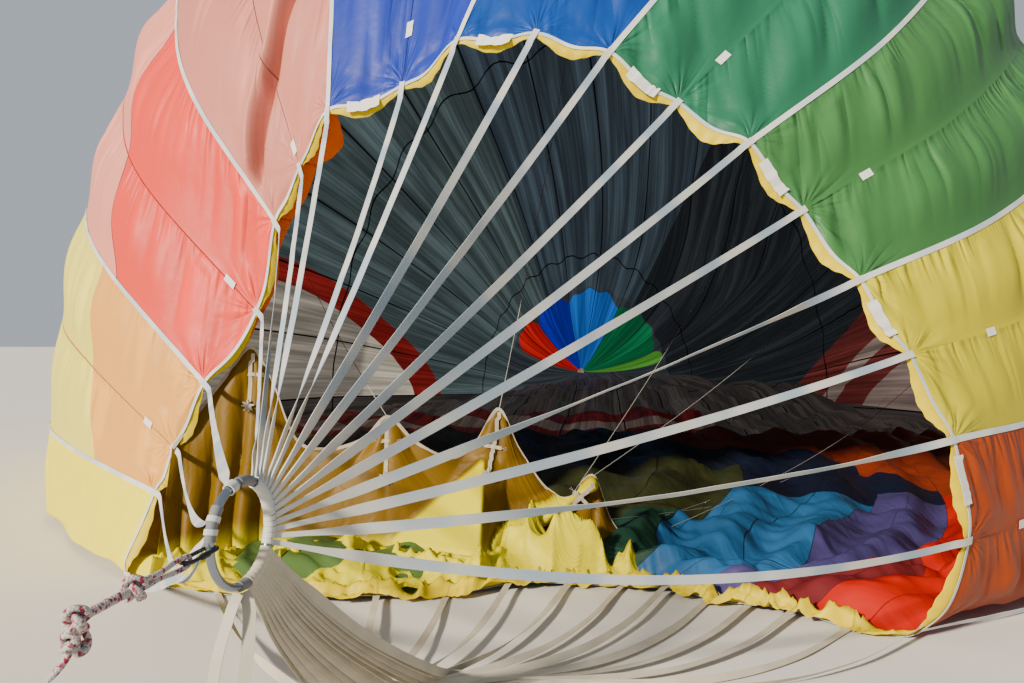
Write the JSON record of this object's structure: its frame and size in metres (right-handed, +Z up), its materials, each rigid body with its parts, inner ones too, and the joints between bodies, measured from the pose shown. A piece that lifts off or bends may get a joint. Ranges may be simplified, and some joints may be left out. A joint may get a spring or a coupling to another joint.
{
  "type": "hot air balloon",
  "caption": "Hot air balloon lying on its side, half full of air: open crown vent with ring and load tapes, rainbow panels, burner on a tilting frame, wicker basket.",
  "frame": {"origin": "centre of the crown ring, where the ground crew's line holds the balloon", "axes": "+Z up, +Y from the crown towards the basket, +X to the right seen from the crown end"},
  "size_m": [12.1664, 28.5619, 9.2418],
  "materials": {
    "fabric_violet": "coated nylon, satin",
    "fabric_blue": "coated nylon, satin",
    "fabric_dark_green": "coated nylon, satin",
    "fabric_light_green": "coated nylon, satin",
    "fabric_yellow": "coated nylon, satin",
    "fabric_orange": "coated nylon, satin",
    "fabric_red": "coated nylon, satin",
    "fabric_maroon": "coated nylon, satin",
    "fabric_violet_low": "coated nylon, satin",
    "fabric_blue_low": "coated nylon, satin",
    "fabric_dark_green_low": "coated nylon, satin",
    "fabric_light_green_low": "coated nylon, satin",
    "fabric_yellow_low": "coated nylon, satin",
    "fabric_peach": "coated nylon, satin",
    "fabric_coral": "coated nylon, satin",
    "fabric_rose": "coated nylon, satin",
    "fabric_cream": "coated nylon, satin",
    "fabric_grey": "coated nylon, satin",
    "fabric_rainbow": "coated nylon in rainbow gores, satin",
    "hem_yellow": "folded nylon binding",
    "hem_red": "heat-resistant fabric binding",
    "webbing": "flat polyester load tape",
    "ring_steel": "satin",
    "karabiner_steel": "blackened",
    "rope": "braided, red and white",
    "parachute_yellow": "coated nylon, satin",
    "cable_steel": "wire rope",
    "frame_steel": "satin",
    "burner_steel": "bright",
    "wicker": "woven willow",
    "rim_leather": "padded, stitched",
    "floor_wood": "varnished plywood and ash",
    "pole_leather": "laced sleeve",
    "cylinder_steel": "satin"
  },
  "bodies": {
    "balloon": {"crown_panel_violet": "fabric_violet", "crown_panel_blue": "fabric_blue", "crown_panel_dark_green": "fabric_dark_green", "crown_panel_light_green": "fabric_light_green", "crown_panel_yellow": "fabric_yellow", "crown_panel_orange": "fabric_orange", "crown_panel_red": "fabric_red", "crown_panel_maroon": "fabric_maroon", "crown_panel_violet_low": "fabric_violet_low", "crown_panel_blue_low": "fabric_blue_low", "crown_panel_dark_green_low": "fabric_dark_green_low", "crown_panel_light_green_low": "fabric_light_green_low", "crown_panel_yellow_low": "fabric_yellow_low", "crown_panel_peach": "fabric_peach", "crown_panel_coral": "fabric_coral", "crown_panel_rose": "fabric_rose", "cream_band_left": "fabric_cream", "cream_band_top": "fabric_cream", "cream_band_right": "fabric_cream", "cream_band_floor": "fabric_cream", "grey_band_left": "fabric_grey", "grey_band_top": "fabric_grey", "grey_band_right": "fabric_grey", "grey_band_floor": "fabric_grey", "mouth_band_left": "fabric_rainbow", "mouth_band_top": "fabric_rainbow", "mouth_band_right": "fabric_rainbow", "mouth_band_floor": "fabric_rainbow", "vent_hem": "hem_yellow", "mouth_hem": "hem_red", "crown_ring": "ring_steel", "load_tapes_front": "webbing", "load_tapes_ground": "webbing", "load_tapes_top_left": "webbing", "load_tapes_low_left": "webbing", "crown_karabiner": "karabiner_steel", "crown_line": "rope", "vent_parachute": "parachute_yellow", "flying_cables_top_left": "cable_steel", "flying_cables_top_right": "cable_steel", "flying_cables_bottom_right": "cable_steel", "flying_cables_bottom_left": "cable_steel", "load_frame": "frame_steel", "basket_wicker": "wicker", "basket_rim": "rim_leather", "basket_floor": "floor_wood", "upright_top_left": "pole_leather", "fuel_cylinder_top_left": "cylinder_steel", "upright_top_right": "pole_leather", "fuel_cylinder_top_right": "cylinder_steel", "upright_bottom_left": "pole_leather", "fuel_cylinder_bottom_left": "cylinder_steel", "upright_bottom_right": "pole_leather", "fuel_cylinder_bottom_right": "cylinder_steel"},
    "gimbal": {"burner_gimbal": "frame_steel"},
    "burner": {"burner_base": "burner_steel", "burner_can_left": "burner_steel", "burner_can_right": "burner_steel"}
  },
  "joints": [
    {"name": "burner_pitch", "type": "hinge", "parent": "balloon", "child": "gimbal", "pos_m": [2.85, 25.6, -0.255], "axis": [1, 0, 0], "range_deg": [-20, 20]},
    {"name": "burner_roll", "type": "hinge", "parent": "gimbal", "child": "burner", "pos_m": [2.85, 25.6, -0.255], "axis": [0, 0, 1], "range_deg": [-20, 20]}
  ]
}
